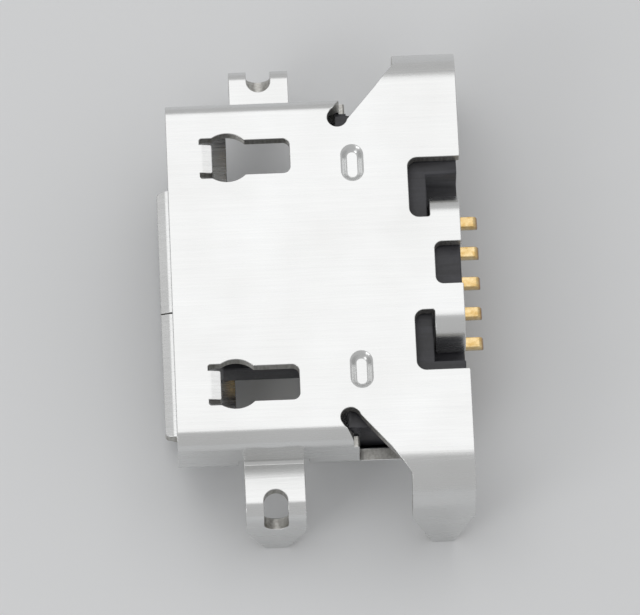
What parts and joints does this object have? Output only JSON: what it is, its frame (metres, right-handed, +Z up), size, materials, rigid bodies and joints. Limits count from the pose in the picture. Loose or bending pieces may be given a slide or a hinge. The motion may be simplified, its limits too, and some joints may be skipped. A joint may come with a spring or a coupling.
{
  "type": "micro usb socket",
  "caption": "Flat folded-steel socket with a keyed mouth, a black insulator tongue, soldered contact tails and four through-board legs, for a board cut-out.",
  "frame": {"origin": "on the face of the board, on the socket's middle line, straight above or below the front edge of the mouth's wide side", "axes": "+X from the mouth to the contact tails, +Y across the socket, +Z up out of the board, towards the wide side with the latch windows"},
  "size_m": [0.0064, 0.0098, 0.0029],
  "materials": {
    "shell_plating": "bright nickel plating over pressed stainless sheet",
    "insulator_plastic": "moulded black liquid-crystal polymer",
    "contact_plating": "gold plating over copper alloy"
  },
  "bodies": {
    "root": {"shell": "shell_plating", "insulator": "insulator_plastic", "contact_1": "contact_plating", "contact_2": "contact_plating", "contact_3": "contact_plating", "contact_4": "contact_plating", "contact_5": "contact_plating"}
  },
  "joints": []
}
